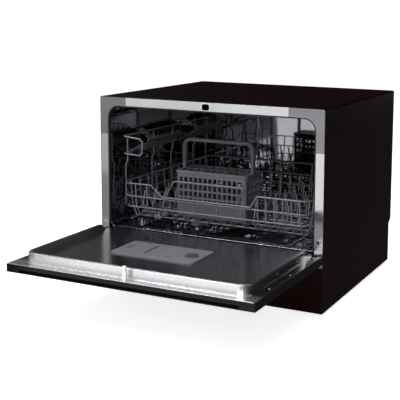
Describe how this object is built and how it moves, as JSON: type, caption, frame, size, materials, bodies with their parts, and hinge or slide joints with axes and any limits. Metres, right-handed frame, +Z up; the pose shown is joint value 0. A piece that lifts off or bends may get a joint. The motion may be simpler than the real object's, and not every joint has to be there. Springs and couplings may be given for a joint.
{
  "type": "countertop dishwasher",
  "caption": "Compact countertop dishwasher with a drop-down front door, steel tub, rolling wire rack, tilting cup shelves, lift-out cutlery basket and spray arm.",
  "frame": {"origin": "on the floor plane of the feet, midway between the sides and midway between the tip of the open door and the back", "axes": "+X to the right seen from the front, +Y from the door towards the back, +Z up; door open level and rack fully in"},
  "size_m": [0.55, 0.808, 0.438],
  "materials": {
    "black_enamel": "high gloss black enamel with a faint warm tint",
    "galvanised": "satin dark grey rear sheet",
    "black_plastic": "moulded black plastic",
    "gloss_black": "polished black plastic",
    "frame_steel": "brushed stainless steel",
    "tub_steel": "polished stainless steel",
    "liner_steel": "bright stainless steel",
    "rubber": "black rubber",
    "chrome": "polished",
    "hinge_steel": "plated steel",
    "white_plastic": "white moulded plastic",
    "sump_plastic": "dark grey polypropylene",
    "filter_steel": "perforated stainless",
    "grey_plastic": "grey moulded plastic",
    "spray_plastic": "mid grey polypropylene",
    "salt_plastic": "off-white moulded plastic",
    "dispenser_plastic": "grey moulded plastic",
    "cap_blue": "blue-grey moulded plastic",
    "window": "smoked clear plastic",
    "nylon_wire": "grey nylon coating on steel wire",
    "wheel_plastic": "grey moulded plastic",
    "shelf_plastic": "dark grey moulded plastic",
    "basket_plastic": "grey moulded plastic"
  },
  "bodies": {
    "cabinet": {"cabinet_wrap": "black_enamel", "rear_panel": "galvanised", "base_tray": "black_plastic", "kick_plate": "black_enamel", "foot_1": "rubber", "foot_2": "rubber", "foot_3": "rubber", "foot_4": "rubber", "front_frame": "frame_steel", "corner_cover_left": "tub_steel", "corner_cover_right": "tub_steel", "tub_shell": "tub_steel", "tub_seal": "rubber", "latch_catch": "black_plastic", "latch_trim": "chrome", "hinge_bracket_left": "hinge_steel", "hinge_bracket_right": "hinge_steel", "hinge_pin_left": "hinge_steel", "hinge_pin_right": "hinge_steel", "water_inlet": "white_plastic", "drain_outlet": "sump_plastic", "cord_gland": "black_plastic", "sump": "sump_plastic", "filter_plate": "filter_steel", "spray_post": "sump_plastic", "spray_nut": "sump_plastic"},
    "filter": {"filter_cup": "grey_plastic"},
    "salt": {"salt_cap": "salt_plastic"},
    "spray": {"spray_arm": "spray_plastic"},
    "door": {"door_outer": "gloss_black", "door_liner": "liner_steel", "door_hook": "white_plastic", "control_fascia": "gloss_black", "display_window": "window", "dispenser_body": "dispenser_plastic"},
    "lid": {"dispenser_lid": "dispenser_plastic"},
    "tab": {"dispenser_tab": "grey_plastic"},
    "rinse": {"rinse_cap": "cap_blue"},
    "rack": {"rack_frame": "nylon_wire", "rack_grid": "nylon_wire", "tines_left": "nylon_wire", "tines_right": "nylon_wire", "tines_rear": "nylon_wire", "cup_rail": "nylon_wire", "axle_1": "wheel_plastic", "axle_2": "wheel_plastic", "axle_3": "wheel_plastic", "axle_4": "wheel_plastic"},
    "shelf_front": {"cup_shelf_front": "shelf_plastic"},
    "shelf_rear": {"cup_shelf_rear": "shelf_plastic"},
    "basket": {"cutlery_basket": "basket_plastic"},
    "button_1": {"button_1": "black_plastic"},
    "button_2": {"button_2": "black_plastic"},
    "button_3": {"button_3": "black_plastic"},
    "button_4": {"button_4": "black_plastic"},
    "button_5": {"button_5": "black_plastic"},
    "wheel_1": {"wheel_1": "wheel_plastic"},
    "wheel_2": {"wheel_2": "wheel_plastic"},
    "wheel_3": {"wheel_3": "wheel_plastic"},
    "wheel_4": {"wheel_4": "wheel_plastic"}
  },
  "joints": [
    {"name": "door_hinge", "type": "hinge", "parent": "cabinet", "child": "door", "pos_m": [0, -0.088, 0.12], "axis": [-1, 0, 0], "range_deg": [0, 90]},
    {"name": "rack_slide", "type": "slide", "parent": "cabinet", "child": "rack", "axis": [0, 1, 0], "range_m": [-0.285, 0]},
    {"name": "shelf_front_fold", "type": "hinge", "parent": "rack", "child": "shelf_front", "pos_m": [-0.228, 0.053, 0.305], "axis": [0, -1, 0], "range_deg": [0, 45]},
    {"name": "shelf_rear_fold", "type": "hinge", "parent": "rack", "child": "shelf_rear", "pos_m": [-0.228, 0.268, 0.305], "axis": [0, -1, 0], "range_deg": [0, 45]},
    {"name": "basket_lift", "type": "slide", "parent": "rack", "child": "basket", "axis": [0, 0, 1], "range_m": [0, 0.045]},
    {"name": "spray_spin", "type": "hinge", "parent": "cabinet", "child": "spray", "pos_m": [0, 0.1615, 0.14], "axis": [0, 0, 1], "continuous": true},
    {"name": "filter_twist", "type": "hinge", "parent": "cabinet", "child": "filter", "pos_m": [0.11, 0.2565, 0.1], "axis": [0, 0, 1], "range_deg": [0, 60]},
    {"name": "salt_cap_twist", "type": "hinge", "parent": "cabinet", "child": "salt", "pos_m": [-0.1, 0.2015, 0.128], "axis": [0, 0, 1], "range_deg": [0, 90]},
    {"name": "dispenser_slide", "type": "slide", "parent": "door", "child": "lid", "axis": [1, 0, 0], "range_m": [0, 0.06]},
    {"name": "dispenser_press", "type": "slide", "parent": "door", "child": "tab", "axis": [0, 0, -1], "range_m": [0, 0.002], "stiffness_N_per_m": 200},
    {"name": "rinse_cap_twist", "type": "hinge", "parent": "door", "child": "rinse", "pos_m": [0.046, -0.222, 0.14], "axis": [0, 0, 1], "range_deg": [0, 90]},
    {"name": "button_1_press", "type": "slide", "parent": "door", "child": "button_1", "axis": [0, 0, 1], "range_m": [0, 0.0015], "stiffness_N_per_m": 200},
    {"name": "button_2_press", "type": "slide", "parent": "door", "child": "button_2", "axis": [0, 0, 1], "range_m": [0, 0.0015], "stiffness_N_per_m": 200},
    {"name": "button_3_press", "type": "slide", "parent": "door", "child": "button_3", "axis": [0, 0, 1], "range_m": [0, 0.0015], "stiffness_N_per_m": 200},
    {"name": "button_4_press", "type": "slide", "parent": "door", "child": "button_4", "axis": [0, 0, 1], "range_m": [0, 0.0015], "stiffness_N_per_m": 200},
    {"name": "button_5_press", "type": "slide", "parent": "door", "child": "button_5", "axis": [0, 0, 1], "range_m": [0, 0.0015], "stiffness_N_per_m": 200},
    {"name": "wheel_1_roll", "type": "hinge", "parent": "rack", "child": "wheel_1", "pos_m": [-0.22, 0.042, 0.14905], "axis": [1, 0, 0], "continuous": true},
    {"name": "wheel_2_roll", "type": "hinge", "parent": "rack", "child": "wheel_2", "pos_m": [0.22, 0.042, 0.14905], "axis": [1, 0, 0], "continuous": true},
    {"name": "wheel_3_roll", "type": "hinge", "parent": "rack", "child": "wheel_3", "pos_m": [-0.22, 0.1492, 0.14905], "axis": [1, 0, 0], "continuous": true},
    {"name": "wheel_4_roll", "type": "hinge", "parent": "rack", "child": "wheel_4", "pos_m": [0.22, 0.1492, 0.14905], "axis": [1, 0, 0], "continuous": true}
  ],
  "couplings": [
    {"joint": "wheel_1_roll", "follows": "rack_slide", "rad_per_m": -83.333},
    {"joint": "wheel_2_roll", "follows": "rack_slide", "rad_per_m": -83.333},
    {"joint": "wheel_3_roll", "follows": "rack_slide", "rad_per_m": -83.333},
    {"joint": "wheel_4_roll", "follows": "rack_slide", "rad_per_m": -83.333}
  ]
}
